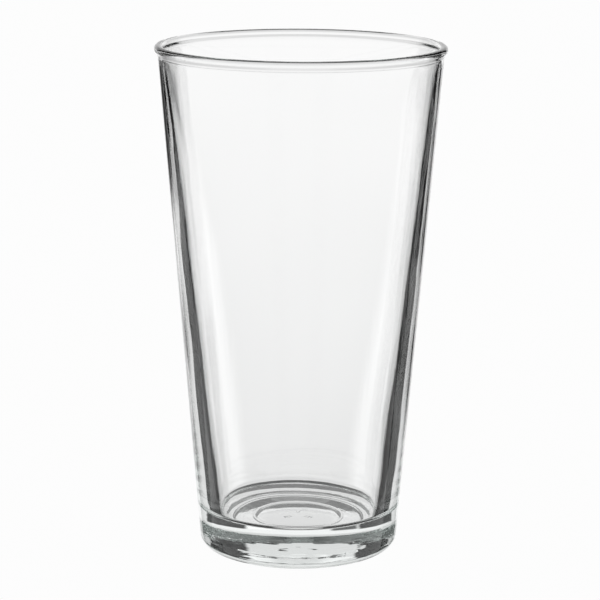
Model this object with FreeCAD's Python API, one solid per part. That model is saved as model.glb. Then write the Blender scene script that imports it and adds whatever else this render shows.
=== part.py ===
import FreeCAD, Part
import math
import os

# Heavy-based conical pint glass, pressed in one piece from clear soda-lime glass.
# Millimetres, +Z up. The origin is the centre of the ring that the glass stands on.

# --- driving dimensions -------------------------------------------------------
HEIGHT = 157.0              # standing surface to the top of the lip
RIM_DIAMETER = 88.9         # widest, measured over the lip's bead
LIP_OVERHANG = 0.8          # bead beyond the outer cone, carried up to the top of the lip
FOOT_CONE_DIAMETER = 60.9   # outer cone, carried down to the standing surface
HEEL_RADIUS = 3.6           # rounding between the outer cone and the standing ring

WALL_AT_LIP = 1.75          # wall under the lip, measured level
WALL_AT_FLOOR = 6.5         # wall at the height of the floor, measured level

LIP_HEIGHT = 1.7            # upright face of the bead, top of the lip to its lower corner
LIP_UNDERCUT = 1.4          # height in which the bead slopes back to the cone
LIP_TOP_RADIUS = 1.1        # rounding of the bead's outer top edge
MOUTH_RADIUS = 1.2          # rounding of the inner top edge
LIP_LOWER_RADIUS = 0.8      # rounding of the bead's lower corner
LIP_HOLLOW_RADIUS = 3.0     # rounding of the hollow under the bead

BASE_THICKNESS = 11.4       # standing surface to the middle of the floor
FLOOR_DISH = 0.7            # how far the floor sinks from its edge to its middle
FLOOR_CORNER_RADIUS = 2.0   # inside rounding between floor and wall

STANDING_RING_WIDTH = 2.4   # flat ring that touches the table
PUSH_UP = 1.9               # height of the hollow under the base, at its middle

MARK_HEIGHT = 0.2           # how far a moulded mark stands down from the hollow
MARK_ROOT = 0.3             # how deep its root is let into the base

OUTER_BAND_WIDTH = 1.6      # low round band in the hollow, inside the standing ring
OUTER_BAND_CLEARANCE = 0.14 # standing surface to the band's outer edge
INNER_BAND_WIDTH = 1.2      # a second one
INNER_BAND_DISTANCE = 14.0  # axis to its middle

CENTRE_BAR_COUNT = 3        # short bars that point at the axis
CENTRE_BAR_LENGTH = 2.4
CENTRE_BAR_WIDTH = 0.8
CENTRE_BAR_DISTANCE = 3.4   # axis to the middle of a bar

os.makedirs("parts", exist_ok=True)


def at(radius, z):
    """A point of the half section, in the XZ plane."""
    return FreeCAD.Vector(radius, 0, z)


def outer_radius(z):
    """Radius of the outer cone at height z."""
    foot = FOOT_CONE_DIAMETER / 2
    mouth = RIM_DIAMETER / 2 - LIP_OVERHANG
    return foot + (mouth - foot) * z / HEIGHT


def inner_radius(z):
    """Radius of the inner cone at height z."""
    floor = outer_radius(BASE_THICKNESS) - WALL_AT_FLOOR
    mouth = outer_radius(HEIGHT) - WALL_AT_LIP
    return floor + (mouth - floor) * (z - BASE_THICKNESS) / (HEIGHT - BASE_THICKNESS)


def rounded(before, corner, after, radius):
    """Tangent arc at a corner: its first, middle and last points."""
    back = (before - corner).normalize()
    ahead = (after - corner).normalize()
    half_angle = back.getAngle(ahead) / 2
    reach = radius / math.tan(half_angle)
    bisector = (back + ahead).normalize()
    to_middle = radius / math.sin(half_angle) - radius
    return corner + back * reach, corner + bisector * to_middle, corner + ahead * reach


def cap_radius(half_width, rise):
    """Radius of the sphere whose cap has this half width and rise."""
    return (half_width ** 2 + rise ** 2) / (2 * rise)


def cap_sag(sphere, radius):
    """Height that the sphere falls away from its pole at this radius."""
    return sphere - math.sqrt(sphere ** 2 - radius ** 2)


# --- what follows from the driving dimensions ---------------------------------
HEEL = rounded(at(0, 0), at(outer_radius(0), 0), at(outer_radius(HEIGHT), HEIGHT), HEEL_RADIUS)
RING_INNER_RADIUS = HEEL[0].x - STANDING_RING_WIDTH
HOLLOW_SPHERE = cap_radius(RING_INNER_RADIUS, PUSH_UP)
FLOOR_SPHERE = cap_radius(inner_radius(BASE_THICKNESS), FLOOR_DISH)


def hollow_height(radius):
    """Height of the hollow under the base at this radius."""
    return PUSH_UP - cap_sag(HOLLOW_SPHERE, radius)


def hollow_radius(height):
    """Radius at which the hollow under the base is this high."""
    drop = PUSH_UP - height
    return math.sqrt(HOLLOW_SPHERE ** 2 - (HOLLOW_SPHERE - drop) ** 2)


def floor_corner():
    """Arc between floor and inner wall: a ball that touches both, seen from the side."""
    foot = at(inner_radius(BASE_THICKNESS), BASE_THICKNESS)
    up_wall = (at(inner_radius(HEIGHT), HEIGHT) - foot).normalize()
    inward = FreeCAD.Vector(-up_wall.z, 0, up_wall.x)
    sphere_centre = at(0, BASE_THICKNESS + FLOOR_SPHERE)
    start = foot + inward * FLOOR_CORNER_RADIUS
    # The ball's centre lies on a line beside the wall, where the floor's sphere holds it.
    offset = start - sphere_centre
    b = offset.dot(up_wall)
    c = offset.dot(offset) - (FLOOR_SPHERE - FLOOR_CORNER_RADIUS) ** 2
    centre = start + up_wall * (-b - math.sqrt(b * b - c))
    on_floor = centre + (centre - sphere_centre).normalize() * FLOOR_CORNER_RADIUS
    on_wall = centre - inward * FLOOR_CORNER_RADIUS
    outward = ((on_floor + on_wall) * 0.5 - centre).normalize()
    return on_floor, centre + outward * FLOOR_CORNER_RADIUS, on_wall


def section_wire():
    """Closed half section of the glass, from the middle of the hollow round to the floor."""
    neck_z = HEIGHT - LIP_HEIGHT - LIP_UNDERCUT
    neck = at(outer_radius(neck_z), neck_z)
    bead_low = at(RIM_DIAMETER / 2, HEIGHT - LIP_HEIGHT)
    bead_top = at(RIM_DIAMETER / 2, HEIGHT)
    mouth = at(inner_radius(HEIGHT), HEIGHT)
    corner = floor_corner()

    hollow_mid = at(RING_INNER_RADIUS / 2, hollow_height(RING_INNER_RADIUS / 2))
    floor_mid_radius = corner[0].x / 2
    floor_mid = at(floor_mid_radius, BASE_THICKNESS + cap_sag(FLOOR_SPHERE, floor_mid_radius))

    arcs = [
        (at(0, PUSH_UP), hollow_mid, at(RING_INNER_RADIUS, 0)),
        HEEL,
        rounded(HEEL[2], neck, bead_low, LIP_HOLLOW_RADIUS),
        rounded(neck, bead_low, bead_top, LIP_LOWER_RADIUS),
        rounded(bead_low, bead_top, mouth, LIP_TOP_RADIUS),
        rounded(bead_top, mouth, corner[2], MOUTH_RADIUS),
        corner[::-1],
        (corner[0], floor_mid, at(0, BASE_THICKNESS)),
    ]
    edges = []
    for this, following in zip(arcs, arcs[1:] + arcs[:1]):
        edges.append(Part.Arc(*this).toShape())
        if this[2].distanceToPoint(following[0]) > 1e-7:
            edges.append(Part.LineSegment(this[2], following[0]).toShape())
    return Part.Wire(edges)


def body():
    """The plain glass, turned about its axis."""
    turned = Part.Face(section_wire()).revolve(at(0, 0), FreeCAD.Vector(0, 0, 1), 360)
    return turned if turned.ShapeType == "Solid" else turned.Solids[0]


def mark_span(distance, length):
    """Inner and outer radius of a mark under the base, its low and its high end."""
    inner, outer = distance - length / 2, distance + length / 2
    return inner, outer, hollow_height(outer) - MARK_HEIGHT, hollow_height(inner) + MARK_ROOT


def bar(distance, length, width, angle):
    """A bar that points at the axis, at this angle from +X."""
    inner, outer, low, high = mark_span(distance, length)
    solid = Part.makeBox(length, width, high - low, FreeCAD.Vector(inner, -width / 2, low))
    solid.rotate(at(0, 0), FreeCAD.Vector(0, 0, 1), angle)
    return solid


def band(distance, width):
    """A band all the way round."""
    inner, outer, low, high = mark_span(distance, width)
    wire = Part.makePolygon([at(inner, low), at(outer, low), at(outer, high), at(inner, high), at(inner, low)])
    return Part.Face(wire).revolve(at(0, 0), FreeCAD.Vector(0, 0, 1), 360)


def bands():
    """The two bands. The outer one lies as far out as its clearance over the table allows."""
    outermost = hollow_radius(OUTER_BAND_CLEARANCE + MARK_HEIGHT)
    return [
        band(outermost - OUTER_BAND_WIDTH / 2, OUTER_BAND_WIDTH),
        band(INNER_BAND_DISTANCE, INNER_BAND_WIDTH),
    ]


def centre_bars():
    """Bars round the axis, one on +Y."""
    step = 360 / CENTRE_BAR_COUNT
    return [
        bar(CENTRE_BAR_DISTANCE, CENTRE_BAR_LENGTH, CENTRE_BAR_WIDTH, 90 + step * index)
        for index in range(CENTRE_BAR_COUNT)
    ]


glass = body().multiFuse(bands() + centre_bars())
glass = glass.Solids[0]
glass.exportStep("parts/glass_body.step")

box = glass.optimalBoundingBox()
inside = math.pi / 3 * (HEIGHT - BASE_THICKNESS) * (
    inner_radius(HEIGHT) ** 2
    + inner_radius(HEIGHT) * inner_radius(BASE_THICKNESS)
    + inner_radius(BASE_THICKNESS) ** 2
)
print(f"glass_body: valid {glass.isValid()}, solids {len(glass.Solids)}, faces {len(glass.Faces)}")
print(f"size {box.XLength:.2f} x {box.YLength:.2f} x {box.ZLength:.2f} mm, lowest {box.ZMin:.3f}")
print(f"volume of glass {glass.Volume / 1000:.1f} cm3, holds about {inside / 1000:.0f} ml to the brim")
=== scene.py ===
"""Looks of a clear, heavy-based conical pint glass.

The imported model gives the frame. The plain solid is replaced by a turned mesh with the same
section, moulded marks under the foot and the slight unevenness of pressed glass. The studio is
a bright field: a pale floor and backdrop, with dark flags that draw the edges of the glass.
"""
import logging
import math
from dataclasses import dataclass, field
from enum import Enum
from typing import Callable

import bmesh
import bpy
from mathutils import Euler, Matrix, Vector


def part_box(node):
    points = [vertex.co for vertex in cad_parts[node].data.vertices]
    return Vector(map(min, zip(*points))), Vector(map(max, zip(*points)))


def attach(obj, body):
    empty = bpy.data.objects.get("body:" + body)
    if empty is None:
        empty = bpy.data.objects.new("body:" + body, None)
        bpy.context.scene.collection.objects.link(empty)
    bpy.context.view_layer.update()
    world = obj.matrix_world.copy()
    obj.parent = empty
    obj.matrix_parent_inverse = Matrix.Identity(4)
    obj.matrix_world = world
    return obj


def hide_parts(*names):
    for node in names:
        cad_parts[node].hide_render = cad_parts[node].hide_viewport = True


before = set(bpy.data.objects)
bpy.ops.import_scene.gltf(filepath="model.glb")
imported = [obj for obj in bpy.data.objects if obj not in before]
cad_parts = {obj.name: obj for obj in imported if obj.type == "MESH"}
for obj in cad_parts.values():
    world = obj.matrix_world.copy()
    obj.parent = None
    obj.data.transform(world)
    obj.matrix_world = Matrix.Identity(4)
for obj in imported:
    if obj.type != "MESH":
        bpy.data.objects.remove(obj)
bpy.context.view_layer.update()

LOG = logging.getLogger("pint_glass")
NODE = "glass_body"
MM = 0.001

FLOOR_RINGS = 16                # mesh rings from the floor's corner to the axis
FLOOR_START = 1.15              # first of them, in corner radii from the wall
HOLLOW_RINGS = 26               # mesh rings from the standing ring to the axis
HOLLOW_START = 0.4 * MM         # standing ring to the first of them
RING_SPACING = 0.3 * MM         # least distance of a plain ring from a mark's ring
BAND_CLEARANCE = 0.34 * MM      # height of the hollow where the outer band ends
OUTER_BAND_WIDTH = 1.6 * MM
INNER_BAND = (13.4 * MM, 14.6 * MM)
CENTRE_BAR = (2.2 * MM, 4.6 * MM)
CENTRE_BAR_STEPS = 16           # mesh segments that a bar covers
CENTRE_BAR_FIRST = 82           # segment, counted from +X, where the bar on +Y starts
CENTRE_BAR_PITCH = 120          # segments from bar to bar
ALL_ROUND = 181.0               # half width of a flag that goes all the way round, in degrees


# ----------------------------------------------------------------------------- modelling tools
class EditSession:
    """Edit mode on one object, with selection by place.

    Attributes:
        owner: The object being edited.
    """

    def __init__(self, owner: bpy.types.Object) -> None:
        """Remember the object."""
        self.owner = owner

    def __enter__(self) -> "EditSession":
        """Make the object active and enter edit mode with nothing selected."""
        bpy.ops.object.select_all(action="DESELECT")
        self.owner.select_set(True)
        bpy.context.view_layer.objects.active = self.owner
        bpy.ops.object.mode_set(mode="EDIT")
        bpy.ops.mesh.select_all(action="DESELECT")
        return self

    def __exit__(self, *_: object) -> None:
        """Leave edit mode."""
        bpy.ops.object.mode_set(mode="OBJECT")

    def faces(self, wanted: Callable[[bmesh.types.BMFace], bool]) -> int:
        """Select only the faces that pass a test, and count them."""
        return self._select("FACE", "faces", wanted)

    def edges(self, wanted: Callable[[bmesh.types.BMEdge], bool]) -> int:
        """Select only the edges that pass a test, and count them."""
        return self._select("EDGE", "edges", wanted)

    def vertices(self, wanted: Callable[[bmesh.types.BMVert], bool]) -> int:
        """Select only the vertices that pass a test, and count them."""
        return self._select("VERT", "verts", wanted)

    def _select(self, mode: str, elements: str, wanted: Callable[[object], bool]) -> int:
        """Select only the elements that pass a test.

        Args:
            mode: Selection mode.
            elements: Which elements of the mesh.
            wanted: The test.

        Returns:
            How many are selected.
        """
        bpy.ops.mesh.select_mode(type=mode)
        bpy.ops.mesh.select_all(action="DESELECT")
        mesh = bmesh.from_edit_mesh(self.owner.data)
        count = 0
        for element in getattr(mesh, elements):
            if wanted(element):
                element.select_set(True)
                count += 1
        mesh.select_flush_mode()
        bmesh.update_edit_mesh(self.owner.data)
        return count

    def draw_out(self, ratio: float, rise: float) -> None:
        """Extrude the selection, scale it about the axis and lift it.

        Args:
            ratio: New radius over old radius.
            rise: Height to add, in metres.
        """
        bpy.ops.mesh.extrude_region_move()
        bpy.ops.transform.resize(value=(ratio, ratio, 1.0), center_override=(0.0, 0.0, 0.0))
        bpy.ops.transform.translate(value=(0.0, 0.0, rise))


def radius_of(point: Vector) -> float:
    """Distance of a point from the axis."""
    return math.hypot(point.x, point.y)


def near(value: float, target: float, within: float = 0.02 * MM) -> bool:
    """Whether two lengths agree."""
    return abs(value - target) < within


# ----------------------------------------------------------------------------- the glass
@dataclass
class Section:
    """Half section of the glass, in metres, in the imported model's frame.

    Attributes:
        height: Standing surface to the top of the lip.
        rim_radius: Axis to the outside of the lip's bead.
        lip_overhang: Bead beyond the outer cone, carried up to the lip's top.
        foot_cone_radius: Outer cone at the standing surface.
        heel_rounding: Radius between the outer cone and the standing ring.
        wall_at_lip: Level wall thickness at the top.
        wall_at_floor: Level wall thickness at the floor.
        lip_height: Top of the lip to the bead's lower corner.
        lip_undercut: Height in which the bead slopes back to the cone.
        lip_top_rounding: Radius of the bead's outer top edge.
        mouth_rounding: Radius of the inner top edge.
        lip_lower_rounding: Radius of the bead's lower corner.
        neck_rounding: Radius of the hollow under the bead.
        base_thickness: Standing surface to the middle of the floor.
        floor_dish: How far the floor sinks to its middle.
        floor_rounding: Radius between floor and wall.
        ring_width: Flat ring that touches the table.
        push_up: Height of the hollow under the base.
    """

    height: float
    rim_radius: float
    lip_overhang: float = 0.8 * MM
    foot_cone_radius: float = 30.45 * MM
    heel_rounding: float = 3.6 * MM
    wall_at_lip: float = 1.75 * MM
    wall_at_floor: float = 6.5 * MM
    lip_height: float = 1.7 * MM
    lip_undercut: float = 1.4 * MM
    lip_top_rounding: float = 1.1 * MM
    mouth_rounding: float = 1.2 * MM
    lip_lower_rounding: float = 0.8 * MM
    neck_rounding: float = 3.0 * MM
    base_thickness: float = 11.4 * MM
    floor_dish: float = 0.7 * MM
    floor_rounding: float = 2.0 * MM
    ring_width: float = 2.4 * MM
    push_up: float = 1.9 * MM

    @classmethod
    def from_frame(cls) -> "Section":
        """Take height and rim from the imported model's box."""
        low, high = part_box(NODE)
        return cls(height=high.z - low.z, rim_radius=(high.x - low.x) / 2)

    def mouth_cone_radius(self) -> float:
        """Radius of the outer cone at the height of the lip's top."""
        return self.rim_radius - self.lip_overhang

    def outer(self, z: float) -> float:
        """Radius of the outer cone at a height."""
        return self.foot_cone_radius + (self.mouth_cone_radius() - self.foot_cone_radius) * z / self.height

    def inner(self, z: float) -> float:
        """Radius of the inner cone at a height."""
        floor = self.outer(self.base_thickness) - self.wall_at_floor
        mouth = self.mouth_cone_radius() - self.wall_at_lip
        return floor + (mouth - floor) * (z - self.base_thickness) / (self.height - self.base_thickness)

    def heel_reach(self) -> float:
        """Length of flat that the heel's rounding takes from the standing ring."""
        slope = (self.mouth_cone_radius() - self.foot_cone_radius) / self.height
        half_angle = (math.pi / 2 + math.atan(slope)) / 2
        return self.heel_rounding / math.tan(half_angle)

    def ring_inner_radius(self) -> float:
        """Axis to the inner edge of the standing ring."""
        return self.foot_cone_radius - self.heel_reach() - self.ring_width

    def hollow_z(self, radius: float) -> float:
        """Height of the hollow under the base at a radius."""
        edge = self.ring_inner_radius()
        sphere = (edge ** 2 + self.push_up ** 2) / (2 * self.push_up)
        return self.push_up - (sphere - math.sqrt(sphere ** 2 - radius ** 2))

    def hollow_radius(self, z: float) -> float:
        """Radius at which the hollow under the base is this high."""
        edge = self.ring_inner_radius()
        sphere = (edge ** 2 + self.push_up ** 2) / (2 * self.push_up)
        return math.sqrt(sphere ** 2 - (sphere - (self.push_up - z)) ** 2)

    def floor_z(self, radius: float) -> float:
        """Height of the dished floor at a radius."""
        edge = self.inner(self.base_thickness)
        sphere = (edge ** 2 + self.floor_dish ** 2) / (2 * self.floor_dish)
        return self.base_thickness + sphere - math.sqrt(sphere ** 2 - radius ** 2)


@dataclass
class MouldedMark:
    """Plain raised bars or a plain raised band under the base.

    Attributes:
        inner: Axis to the inner ends, in metres.
        outer: Axis to the outer ends.
        first_step: Mesh segment, counted from +X, where the first bar starts.
        steps: Segments that a bar covers; None is a band all the way round.
        pitch: Segments from one bar to the next.
        stand: How far the mark stands down from the hollow.
        slope: Length of the sloping ends.
    """

    inner: float
    outer: float
    first_step: int = 0
    steps: int | None = None
    pitch: int = 1
    stand: float = 0.2 * MM
    slope: float = 0.3 * MM

    def ring_radii(self) -> tuple[float, float, float, float]:
        """Radii where the mesh needs a ring: both ends of the mark, and the ends of its top."""
        return self.inner, self.inner + self.slope, self.outer - self.slope, self.outer

    def tops(self, point: Vector, segments: int) -> bool:
        """Whether a point of the mesh belongs to the flat top of the mark."""
        if not self.inner + self.slope / 2 < radius_of(point) < self.outer - self.slope / 2:
            return False
        if self.steps is None:
            return True
        step = round(math.atan2(point.y, point.x) / (2 * math.pi) * segments)
        return 0 < (step - self.first_step) % self.pitch < self.steps


@dataclass
class GlassBody:
    """The glass itself, one closed shell.

    Attributes:
        section: Its sizes.
        segments: Faces round the axis.
        wall_cuts: Rings added along each wall.
        wave_length: Size of the inner wall's slow waves, in metres.
        wave_height: Their height.
        wave_fade: Height over which they fade in and out.
        marks: Raised marks under the base.
    """

    section: Section
    segments: int = 360
    wall_cuts: int = 56
    wave_length: float = 34.0 * MM
    wave_height: float = 0.35 * MM
    wave_fade: float = 12.0 * MM
    marks: list[MouldedMark] = field(default_factory=list)

    def build(self) -> bpy.types.Object:
        """Model the shell.

        Returns:
            The finished mesh object, at the origin.
        """
        glass = self._start_cone()
        with EditSession(glass) as edit:
            self._draw_lip_and_inside(edit)
            self._draw_underside(edit)
        self._close_poles(glass)
        with EditSession(glass) as edit:
            self._round_edges(edit)
            self._cut_walls(edit)
            self._raise_marks(edit)
            bpy.ops.mesh.select_all(action="SELECT")
            bpy.ops.mesh.normals_make_consistent(inside=False)
        bpy.ops.object.select_all(action="DESELECT")
        glass.select_set(True)
        bpy.context.view_layer.objects.active = glass
        bpy.ops.object.shade_smooth()
        self._wave_inside(glass)
        return glass

    def _start_cone(self) -> bpy.types.Object:
        """Add the outer cone, from the standing surface to the neck under the lip."""
        s = self.section
        neck = s.height - s.lip_height - s.lip_undercut
        bpy.ops.object.select_all(action="DESELECT")
        bpy.ops.mesh.primitive_cone_add(
            vertices=self.segments, radius1=s.foot_cone_radius, radius2=s.outer(neck), depth=neck,
            end_fill_type="NGON", location=(0.0, 0.0, neck / 2),
        )
        glass = bpy.context.active_object
        glass.name = "pint_glass"
        glass.data.name = "pint_glass"
        bpy.ops.object.transform_apply(location=True, rotation=True, scale=True)
        return glass

    def _draw_lip_and_inside(self, edit: EditSession) -> None:
        """Extrude the top face over the lip, down the inner wall and across the floor."""
        s = self.section
        neck = s.height - s.lip_height - s.lip_undercut
        edit.faces(lambda face: face.normal.z > 0.9)
        stations = [
            (s.rim_radius, s.height - s.lip_height),
            (s.rim_radius, s.height),
            (s.inner(s.height), s.height),
            (s.inner(s.base_thickness), s.floor_z(s.inner(s.base_thickness))),
        ]
        self._follow(edit, (s.outer(neck), neck), stations)
        first = s.inner(s.base_thickness) - FLOOR_START * s.floor_rounding
        floor_radii = self._ring_radii(first, FLOOR_RINGS)
        self._follow(edit, stations[-1], [(r, s.floor_z(r)) for r in floor_radii])

    def _draw_underside(self, edit: EditSession) -> None:
        """Extrude the bottom face across the standing ring and into the hollow."""
        s = self.section
        edit.faces(lambda face: face.normal.z < -0.9 and near(face.calc_center_median().z, 0.0))
        edge = s.ring_inner_radius()
        self._follow(edit, (s.foot_cone_radius, 0.0), [(edge, 0.0)])
        lines = {r for mark in self.marks for r in mark.ring_radii()}
        plain = self._ring_radii(edge - HOLLOW_START, HOLLOW_RINGS)
        between = {r for r in plain if all(abs(r - line) > RING_SPACING for line in lines)}
        radii = sorted(lines | between, reverse=True)
        self._follow(edit, (edge, 0.0), [(r, s.hollow_z(r)) for r in radii])

    @staticmethod
    def _ring_radii(start: float, count: int) -> list[float]:
        """Evenly stepped radii from a start nearly down to the axis."""
        return [start * (1 - index / count) for index in range(count)]

    @staticmethod
    def _follow(
        edit: EditSession, start: tuple[float, float], stations: list[tuple[float, float]]
    ) -> None:
        """Extrude the selection through a list of radius and height pairs.

        Args:
            edit: The session on the glass.
            start: Radius and height of the selection.
            stations: Where to draw it to, one after the other.
        """
        radius, z = start
        for next_radius, next_z in stations:
            edit.draw_out(next_radius / radius, next_z - z)
            radius, z = next_radius, next_z

    @staticmethod
    def _close_poles(glass: bpy.types.Object) -> None:
        """Turn the last round face at each end of the axis into a fan of triangles."""
        with EditSession(glass) as edit:
            edit.faces(lambda face: len(face.verts) > 4)
            bpy.ops.mesh.poke()

    def _round_edges(self, edit: EditSession) -> None:
        """Bevel the sharp rings: heel, neck, bead, mouth and floor corner."""
        s = self.section
        neck = s.height - s.lip_height - s.lip_undercut
        floor_edge = s.inner(s.base_thickness)
        rings = [
            (s.foot_cone_radius, 0.0, s.heel_rounding, 12),
            (s.outer(neck), neck, s.neck_rounding, 6),
            (s.rim_radius, s.height - s.lip_height, s.lip_lower_rounding, 6),
            (s.rim_radius, s.height, s.lip_top_rounding, 10),
            (s.inner(s.height), s.height, s.mouth_rounding, 10),
            (floor_edge, s.floor_z(floor_edge), s.floor_rounding, 12),
        ]
        for radius, z, rounding, segments in rings:
            count = edit.edges(lambda edge: all(
                near(radius_of(v.co), radius) and near(v.co.z, z) for v in edge.verts
            ))
            if count != self.segments:
                raise ValueError(f"ring at {radius:.5f}, {z:.5f} has {count} edges")
            bpy.ops.mesh.bevel(
                offset_type="OFFSET", offset=self._reach(edit, rounding), segments=segments,
                profile=0.5, affect="EDGES", clamp_overlap=False,
            )

    @staticmethod
    def _reach(edit: EditSession, rounding: float) -> float:
        """How far a rounding reaches from the selected edges along the faces beside them."""
        mesh = bmesh.from_edit_mesh(edit.owner.data)
        edge = next(e for e in mesh.edges if e.select)
        turn = edge.calc_face_angle()
        return rounding * math.tan(turn / 2)

    def _cut_walls(self, edit: EditSession) -> None:
        """Add rings along both walls, so that they can carry their slight waves."""
        longest = 0.5 * self.section.height
        edit.edges(lambda edge: edge.calc_length() > longest)
        bpy.ops.mesh.subdivide(number_cuts=self.wall_cuts)

    def _wave_inside(self, glass: bpy.types.Object) -> None:
        """Give the inner wall the slow waves that pressing leaves."""
        s = self.section
        low, high = s.base_thickness + 3 * s.floor_rounding, s.height - 3 * s.mouth_rounding
        group = glass.vertex_groups.new(name="inner_wall")
        for vert in glass.data.vertices:
            z = vert.co.z
            if low < z < high and radius_of(vert.co) < s.inner(z) + 0.1 * MM:
                fade = min(1.0, (z - low) / self.wave_fade, (high - z) / self.wave_fade)
                group.add([vert.index], fade, "REPLACE")
        texture = bpy.data.textures.new("slow_waves", "CLOUDS")
        texture.noise_scale = self.wave_length
        texture.noise_depth = 0
        waves = glass.modifiers.new("slow_waves", "DISPLACE")
        waves.texture = texture
        waves.vertex_group = group.name
        waves.strength = self.wave_height
        waves.mid_level = 0.5
        bpy.ops.object.modifier_apply(modifier=waves.name)

    def _raise_marks(self, edit: EditSession) -> None:
        """Raise the moulded bands and bars under the base.

        Args:
            edit: The session on the glass.
        """
        for mark in self.marks:
            edit.vertices(lambda vert, mark=mark: (
                vert.normal.z < -0.5 and mark.tops(vert.co, self.segments)
            ))
            bpy.ops.transform.translate(value=(0.0, 0.0, -mark.stand))


# ----------------------------------------------------------------------------- finishes
def add_math(tree: bpy.types.NodeTree, operation: str, *values: object) -> bpy.types.NodeSocket:
    """Add a Math node.

    Args:
        tree: Where to add it.
        operation: What it does.
        values: Its inputs, each a socket or a number.

    Returns:
        Its output.
    """
    node = tree.nodes.new("ShaderNodeMath")
    node.operation = operation
    for socket, value in zip(node.inputs, values):
        if isinstance(value, bpy.types.NodeSocket):
            tree.links.new(value, socket)
        else:
            socket.default_value = value
    return node.outputs[0]


def add_ramp(
    tree: bpy.types.NodeTree, value: bpy.types.NodeSocket, zero: float, one: float
) -> bpy.types.NodeSocket:
    """Add a smooth step.

    Args:
        tree: Where to add it.
        value: What it reads.
        zero: The value where it gives 0.
        one: The value where it gives 1.

    Returns:
        The step, from 0 to 1.
    """
    node = tree.nodes.new("ShaderNodeMapRange")
    node.interpolation_type = "SMOOTHSTEP"
    tree.links.new(value, node.inputs["Value"])
    node.inputs["From Min"].default_value = min(zero, one)
    node.inputs["From Max"].default_value = max(zero, one)
    node.inputs["To Min"].default_value = 0.0 if zero < one else 1.0
    node.inputs["To Max"].default_value = 1.0 if zero < one else 0.0
    return node.outputs["Result"]


class NodeGroup:
    """A node group with named sockets.

    Attributes:
        tree: The group.
        entry: Its input node.
        exit: Its output node.
    """

    def __init__(self, name: str, inputs: dict[str, object], outputs: list[str]) -> None:
        """Make the group.

        Args:
            name: Its name.
            inputs: Input names and their first values, numbers or vectors.
            outputs: Names of its number outputs.
        """
        self.tree = bpy.data.node_groups.new(name, "ShaderNodeTree")
        for label, value in inputs.items():
            kind = "NodeSocketVector" if isinstance(value, tuple) else "NodeSocketFloat"
            self.tree.interface.new_socket(label, in_out="INPUT", socket_type=kind).default_value = value
        for label in outputs:
            self.tree.interface.new_socket(label, in_out="OUTPUT", socket_type="NodeSocketFloat")
        self.entry = self.tree.nodes.new("NodeGroupInput")
        self.exit = self.tree.nodes.new("NodeGroupOutput")

    def noise(
        self, scale: bpy.types.NodeSocket, stretch: bpy.types.NodeSocket, detail: float
    ) -> bpy.types.NodeSocket:
        """Noise in the object's own coordinates, stretched along its axes.

        Args:
            scale: How fine it is.
            stretch: How much finer along each axis.
            detail: How many finer layers it has.

        Returns:
            The noise, from 0 to 1.
        """
        place = self.tree.nodes.new("ShaderNodeTexCoord")
        stretched = self.tree.nodes.new("ShaderNodeVectorMath")
        stretched.operation = "MULTIPLY"
        self.tree.links.new(place.outputs["Object"], stretched.inputs[0])
        self.tree.links.new(stretch, stretched.inputs[1])
        texture = self.tree.nodes.new("ShaderNodeTexNoise")
        texture.inputs["Detail"].default_value = detail
        self.tree.links.new(scale, texture.inputs["Scale"])
        self.tree.links.new(stretched.outputs["Vector"], texture.inputs["Vector"])
        return texture.outputs["Fac"]

    def use(self, tree: bpy.types.NodeTree, **values: object) -> bpy.types.Node:
        """Add the group to a material with its inputs set.

        Args:
            tree: The material's nodes.
            values: Input values by name.

        Returns:
            The group's node.
        """
        node = tree.nodes.new("ShaderNodeGroup")
        node.node_tree = self.tree
        for label, value in values.items():
            node.inputs[label].default_value = value
        return node


def ripple_group() -> NodeGroup:
    """Cord and chill marks that the mould leaves in the surface.

    Returns:
        A group that gives the height of the surface, in metres.
    """
    group = NodeGroup("mould_ripple", {"Scale": 100.0, "Stretch": (1.0, 1.0, 1.0), "Depth": 0.0}, ["Height"])
    fac = group.noise(group.entry.outputs["Scale"], group.entry.outputs["Stretch"], detail=2.0)
    height = add_math(group.tree, "MULTIPLY", fac, group.entry.outputs["Depth"])
    group.tree.links.new(height, group.exit.inputs["Height"])
    return group


def scuff_group() -> NodeGroup:
    """Hairlines in worn patches, as washing and stacking leave them.

    Returns:
        A group that gives a mask and the hairlines' roughness.
    """
    group = NodeGroup(
        "hairline_scuff",
        {"Patch Scale": 40.0, "Line Scale": 300.0, "Stretch": (1.0, 1.0, 1.0), "Roughness": 0.1},
        ["Mask", "Roughness"],
    )
    patches = group.noise(group.entry.outputs["Patch Scale"], group.entry.outputs["Stretch"], detail=1.0)
    lines = group.noise(group.entry.outputs["Line Scale"], group.entry.outputs["Stretch"], detail=0.0)
    ridge = add_math(group.tree, "ABSOLUTE", add_math(group.tree, "SUBTRACT", lines, 0.5))
    hair = add_ramp(group.tree, ridge, 0.006, 0.001)
    mask = add_math(group.tree, "MULTIPLY", hair, add_ramp(group.tree, patches, 0.5, 0.66))
    rough = add_math(group.tree, "MULTIPLY", mask, group.entry.outputs["Roughness"])
    group.tree.links.new(mask, group.exit.inputs["Mask"])
    group.tree.links.new(rough, group.exit.inputs["Roughness"])
    return group


def smudge_group() -> NodeGroup:
    """Faint smears where the glass is held.

    Returns:
        A group that gives the smears' roughness.
    """
    group = NodeGroup(
        "hand_smudge", {"Scale": 45.0, "Stretch": (1.0, 1.0, 1.0), "Roughness": 0.02}, ["Roughness"]
    )
    fac = group.noise(group.entry.outputs["Scale"], group.entry.outputs["Stretch"], detail=4.0)
    patch = add_ramp(group.tree, fac, 0.56, 0.72)
    rough = add_math(group.tree, "MULTIPLY", patch, group.entry.outputs["Roughness"])
    group.tree.links.new(rough, group.exit.inputs["Roughness"])
    return group


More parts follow.
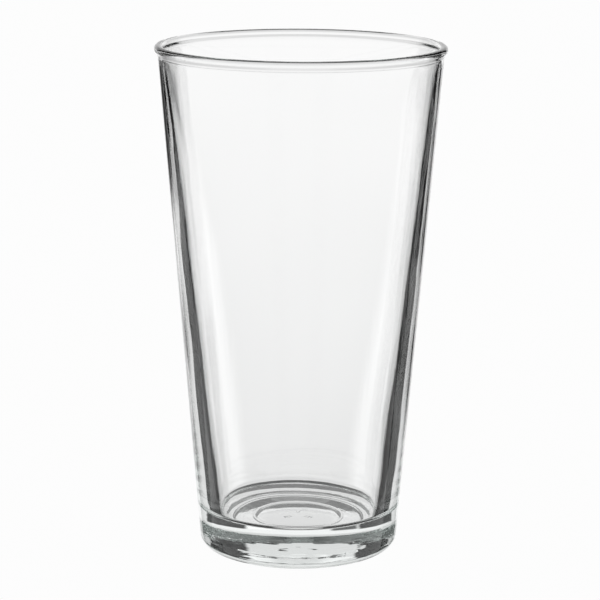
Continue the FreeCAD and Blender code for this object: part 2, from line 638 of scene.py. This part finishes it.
@dataclass(frozen=True)
class ClearGlass:
    """Clear pressed soda-lime glass.

    Attributes:
        ior: Index of refraction.
        tint: Colour that a long way through the glass takes on.
        density: How fast it takes that colour, per metre.
        wall_ripple: Depth of the long streaks in the walls, in metres.
        heel_ripple: Depth of the streaks round the heel.
        heel_top: Height where the heel's streaks have faded out.
        smear: Roughness of the smears.
        scuff: Roughness of the hairlines round the heel.
    """

    ior: float = 1.52
    tint: tuple[float, float, float] = (0.87, 0.93, 0.91)
    density: float = 7.0
    wall_ripple: float = 0.02 * MM
    heel_ripple: float = 0.10 * MM
    heel_top: float = 13.0 * MM
    smear: float = 0.015
    scuff: float = 0.12

    def build(self) -> bpy.types.Material:
        """Make the material.

        Returns:
            The node material.
        """
        material = bpy.data.materials.new("clear_glass")
        material.use_nodes = True
        tree = material.node_tree
        tree.nodes.clear()
        output = tree.nodes.new("ShaderNodeOutputMaterial")
        glass = tree.nodes.new("ShaderNodeBsdfPrincipled")
        glass.inputs["Base Color"].default_value = (1.0, 1.0, 1.0, 1.0)
        glass.inputs["IOR"].default_value = self.ior
        glass.inputs["Transmission Weight"].default_value = 1.0
        heel = self._heel_mask(tree)
        tree.links.new(self._roughness(tree, heel), glass.inputs["Roughness"])
        tree.links.new(self._normal(tree, heel), glass.inputs["Normal"])
        volume = tree.nodes.new("ShaderNodeVolumeAbsorption")
        volume.inputs["Color"].default_value = (*self.tint, 1.0)
        volume.inputs["Density"].default_value = self.density
        tree.links.new(glass.outputs["BSDF"], output.inputs["Surface"])
        tree.links.new(volume.outputs["Volume"], output.inputs["Volume"])
        return material

    def _heel_mask(self, tree: bpy.types.NodeTree) -> bpy.types.NodeSocket:
        """1 at the foot of the glass, 0 above the heel."""
        place = tree.nodes.new("ShaderNodeTexCoord")
        split = tree.nodes.new("ShaderNodeSeparateXYZ")
        tree.links.new(place.outputs["Object"], split.inputs["Vector"])
        return add_ramp(tree, split.outputs["Z"], self.heel_top, self.heel_top / 3)

    def _roughness(self, tree: bpy.types.NodeTree, heel: bpy.types.NodeSocket) -> bpy.types.NodeSocket:
        """Smears all over, and hairlines round the heel."""
        smudge = smudge_group().use(tree, Scale=45.0, Stretch=(1.0, 1.0, 0.5), Roughness=self.smear)
        scuff = scuff_group().use(tree, **{
            "Patch Scale": 60.0, "Line Scale": 160.0, "Stretch": (1.0, 1.0, 4.0), "Roughness": self.scuff,
        })
        low = add_math(tree, "MULTIPLY", scuff.outputs["Roughness"], heel)
        return add_math(tree, "ADD", smudge.outputs["Roughness"], low)

    def _normal(self, tree: bpy.types.NodeTree, heel: bpy.types.NodeSocket) -> bpy.types.NodeSocket:
        """Long upright streaks in the walls and level streaks round the heel."""
        ripple = ripple_group()
        walls = ripple.use(tree, Scale=260.0, Stretch=(1.0, 1.0, 0.1), Depth=self.wall_ripple)
        level = ripple.use(tree, Scale=70.0, Stretch=(1.0, 1.0, 9.0), Depth=self.heel_ripple)
        low = add_math(tree, "MULTIPLY", level.outputs["Height"], heel)
        bump = tree.nodes.new("ShaderNodeBump")
        bump.inputs["Strength"].default_value = 1.0
        bump.inputs["Distance"].default_value = 1.0
        tree.links.new(add_math(tree, "ADD", walls.outputs["Height"], low), bump.inputs["Height"])
        return bump.outputs["Normal"]


# ----------------------------------------------------------------------------- the studio
class RayKind(Enum):
    """Kinds of ray that the sky answers in its own way, by the Light Path socket they are on."""

    CAMERA = "Is Camera Ray"
    DIFFUSE = "Is Diffuse Ray"


class Seen(Enum):
    """Which light in the glass meets a flag."""

    ALWAYS = "all of it"
    MIRRORED = "light that was reflected inside the glass"
    CROSSED_ONCE = "light that went into the glass and out again once"


@dataclass(frozen=True)
class Flag:
    """A dark card or a strip of light in the surround, seen only in the glass.

    Attributes:
        azimuth: Its middle, in degrees right of +Y.
        half_width: Half its width in degrees.
        low: Its lower edge, degrees above the horizon.
        high: Its upper edge.
        softness: Width of its soft edge in degrees.
        depth: 0 leaves the surround as it is, 1 makes it black, below 0 makes it brighter.
        seen: Which light meets it.
    """

    azimuth: float
    half_width: float
    low: float = -90.0
    high: float = 90.0
    softness: float = 3.0
    depth: float = 0.93
    seen: Seen = Seen.ALWAYS


@dataclass
class Studio:
    """Floor, surround, lights and camera.

    Attributes:
        camera_back: Axis of the glass to the camera, level.
        camera_height: Camera above the table.
        pitch: How far the camera looks down, in degrees.
        roll: How far the camera is turned about its view, in degrees.
        focal_widths: Focal length, in widths of the frame.
        shift: Sideways shift of the lens, as a share of the frame.
        pale: Brightness of the floor and backdrop.
        surround: Brightness of the surround as the glass sees it.
        sweep_far: Elevation where the surround starts to fall off towards the table, in degrees.
        sweep_near: Elevation where it has fallen off.
        sweep_level: Brightness there, as a share of the surround's.
        table_radius: Radius of the table top.
        flags: Dark cards and strips of light.
    """

    camera_back: float = 0.770
    camera_height: float = 0.246
    pitch: float = 12.32
    roll: float = 0.36
    focal_widths: float = 4.25
    shift: float = 0.0007
    pale: float = 0.98
    surround: float = 0.965
    sweep_far: float = -8.0
    sweep_near: float = -26.0
    sweep_level: float = 0.76
    table_radius: float = 8.0
    flags: tuple[Flag, ...] = ()

    def build(self) -> None:
        """Make everything round the glass."""
        self._floor()
        self._surround()
        self._camera()
        self._bounces()

    def _floor(self) -> None:
        """A large pale table top that the glass stands on."""
        bpy.ops.object.select_all(action="DESELECT")
        bpy.ops.mesh.primitive_circle_add(
            vertices=96, radius=self.table_radius, fill_type="NGON", location=(0, 0, 0)
        )
        floor = bpy.context.active_object
        floor.name = "table_top"
        material = bpy.data.materials.new("pale_table")
        material.use_nodes = True
        tree = material.node_tree
        tree.nodes.clear()
        output = tree.nodes.new("ShaderNodeOutputMaterial")
        glow = tree.nodes.new("ShaderNodeEmission")
        glow.inputs["Color"].default_value = (self.pale, self.pale, self.pale, 1.0)
        tree.links.new(glow.outputs["Emission"], output.inputs["Surface"])
        floor.data.materials.append(material)
        floor.visible_transmission = False
        floor.visible_glossy = False

    def _surround(self) -> None:
        """A white surround with the dark flags in it."""
        world = bpy.data.worlds.new("studio")
        bpy.context.scene.world = world
        world.use_nodes = True
        tree = world.node_tree
        tree.nodes.clear()
        output = tree.nodes.new("ShaderNodeOutputWorld")
        sky = tree.nodes.new("ShaderNodeBackground")
        direction = tree.nodes.new("ShaderNodeTexCoord")
        split = tree.nodes.new("ShaderNodeSeparateXYZ")
        tree.links.new(direction.outputs["Generated"], split.inputs["Vector"])
        azimuth = add_math(tree, "ARCTAN2", split.outputs["X"], split.outputs["Y"])
        elevation = add_math(tree, "ARCSINE", split.outputs["Z"])
        path = tree.nodes.new("ShaderNodeLightPath")
        # Going into the glass and out again is 2 crossings; the next wall makes it 3.
        reach = {
            Seen.MIRRORED: add_math(tree, "MINIMUM", path.outputs["Glossy Depth"], 1.0),
            Seen.CROSSED_ONCE: add_math(tree, "LESS_THAN", path.outputs["Transmission Depth"], 3.0),
        }
        near_table = self._step(tree, elevation, self.sweep_far, self.sweep_near)
        light = add_math(tree, "MULTIPLY_ADD", near_table, self.sweep_level - 1.0, 1.0)
        for flag in self.flags:
            mask = self._flag_mask(tree, flag, azimuth, elevation)
            if flag.seen in reach:
                mask = add_math(tree, "MULTIPLY", mask, reach[flag.seen])
            dark = add_math(tree, "MULTIPLY", mask, flag.depth)
            light = add_math(tree, "MULTIPLY", light, add_math(tree, "SUBTRACT", 1.0, dark))
        level = add_math(tree, "MULTIPLY", light, self.surround)
        for kind in RayKind:
            mix = tree.nodes.new("ShaderNodeMix")
            tree.links.new(path.outputs[kind.value], mix.inputs["Factor"])
            tree.links.new(level, mix.inputs["A"])
            mix.inputs["B"].default_value = self.pale
            level = mix.outputs["Result"]
        tree.links.new(level, sky.inputs["Strength"])
        tree.links.new(sky.outputs["Background"], output.inputs["Surface"])
        sky.inputs["Color"].default_value = (1.0, 1.0, 1.0, 1.0)

    def _flag_mask(self, tree: bpy.types.NodeTree, flag: Flag, azimuth: bpy.types.NodeSocket,
                   elevation: bpy.types.NodeSocket) -> bpy.types.NodeSocket:
        """1 in the directions that one flag covers, 0 outside it.

        Args:
            tree: The world's nodes.
            flag: The flag.
            azimuth: Direction of the light, right of +Y, in radians.
            elevation: Its height over the horizon, in radians.

        Returns:
            The mask.
        """
        turned = add_math(tree, "SUBTRACT", azimuth, math.radians(flag.azimuth))
        wrapped = add_math(tree, "WRAP", turned, math.pi, -math.pi)
        away = add_math(tree, "ABSOLUTE", wrapped)
        across = self._step(tree, away, flag.half_width + flag.softness / 2, flag.half_width - flag.softness / 2)
        above = self._step(tree, elevation, flag.low - flag.softness / 2, flag.low + flag.softness / 2)
        below = self._step(tree, elevation, flag.high + flag.softness / 2, flag.high - flag.softness / 2)
        return add_math(tree, "MULTIPLY", add_math(tree, "MULTIPLY", across, above), below)

    @staticmethod
    def _step(
        tree: bpy.types.NodeTree, angle: bpy.types.NodeSocket, zero: float, one: float
    ) -> bpy.types.NodeSocket:
        """Smooth step from 0 at one angle to 1 at another, both in degrees."""
        return add_ramp(tree, angle, math.radians(zero), math.radians(one))

    def _camera(self) -> None:
        """A long lens, looking slightly down on the glass."""
        data = bpy.data.cameras.new("camera")
        data.sensor_width = 36.0
        data.lens = self.focal_widths * data.sensor_width
        data.shift_x = self.shift
        data.clip_start = 0.05
        data.clip_end = 50.0
        camera = bpy.data.objects.new("camera", data)
        bpy.context.scene.collection.objects.link(camera)
        camera.location = (0.0, -self.camera_back, self.camera_height)
        view = Euler((math.radians(90 - self.pitch), 0.0, 0.0)).to_matrix()
        spin = Euler((0.0, 0.0, math.radians(self.roll))).to_matrix()
        camera.rotation_euler = (view @ spin).to_euler()
        bpy.context.scene.camera = camera

    @staticmethod
    def _bounces() -> None:
        """Let light through many walls, and show white as white."""
        scene = bpy.context.scene
        scene.cycles.max_bounces = 32
        scene.cycles.transmission_bounces = 24
        scene.cycles.glossy_bounces = 24
        scene.cycles.transparent_max_bounces = 16
        scene.view_settings.view_transform = "Standard"
        scene.view_settings.look = "None"
        scene.view_settings.exposure = 0.0
        scene.view_settings.gamma = 1.0


# ----------------------------------------------------------------------------- put together
def underside_marks(section: Section) -> list[MouldedMark]:
    """The two round bands and the bars at the centre.

    Args:
        section: Sizes of the glass.

    Returns:
        The marks, from the standing ring inwards.
    """
    outermost = section.hollow_radius(BAND_CLEARANCE)
    return [
        MouldedMark(outermost - OUTER_BAND_WIDTH, outermost),
        MouldedMark(*INNER_BAND),
        MouldedMark(
            *CENTRE_BAR, first_step=CENTRE_BAR_FIRST, steps=CENTRE_BAR_STEPS, pitch=CENTRE_BAR_PITCH
        ),
    ]


def main() -> None:
    """Build the studio and the glass."""
    logging.basicConfig(level=logging.INFO, format="%(name)s: %(message)s")
    section = Section.from_frame()
    body = GlassBody(section, marks=underside_marks(section))
    glass = body.build()
    glass.data.materials.append(ClearGlass().build())
    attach(glass, "root")
    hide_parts(NODE)
    LOG.info("%s: %d vertices, %d faces", glass.name, len(glass.data.vertices), len(glass.data.polygons))
    Studio(flags=(
        Flag(azimuth=-43.5, half_width=16.5, depth=0.97, seen=Seen.MIRRORED),
        Flag(azimuth=39.0, half_width=17.0, depth=0.97, seen=Seen.MIRRORED),
        Flag(azimuth=-43.5, half_width=16.5, low=-14.0, high=-4.5, depth=0.97, seen=Seen.CROSSED_ONCE),
        Flag(azimuth=39.0, half_width=17.0, low=-14.0, high=-4.5, depth=0.97, seen=Seen.CROSSED_ONCE),
        Flag(azimuth=-66.0, half_width=11.0, high=-23.0, seen=Seen.MIRRORED),
        Flag(azimuth=55.0, half_width=8.0, high=-17.0, depth=0.97, seen=Seen.MIRRORED),
        Flag(azimuth=-19.5, half_width=6.5, low=-12.3, high=-6.0, depth=0.9),
        Flag(azimuth=-18.0, half_width=9.0, low=-32.0, high=-12.0, softness=5.0, depth=-0.2),
        Flag(azimuth=16.0, half_width=7.0, low=-32.0, high=-8.0, softness=5.0, depth=-0.2),
        Flag(azimuth=0.0, half_width=ALL_ROUND, low=8.0, softness=6.0, depth=0.22),
        Flag(azimuth=0.0, half_width=ALL_ROUND, low=42.0, softness=10.0, depth=0.75),
        Flag(azimuth=0.0, half_width=ALL_ROUND, low=-72.0, high=-41.0),
    )).build()


if __name__ == "__main__":
    main()
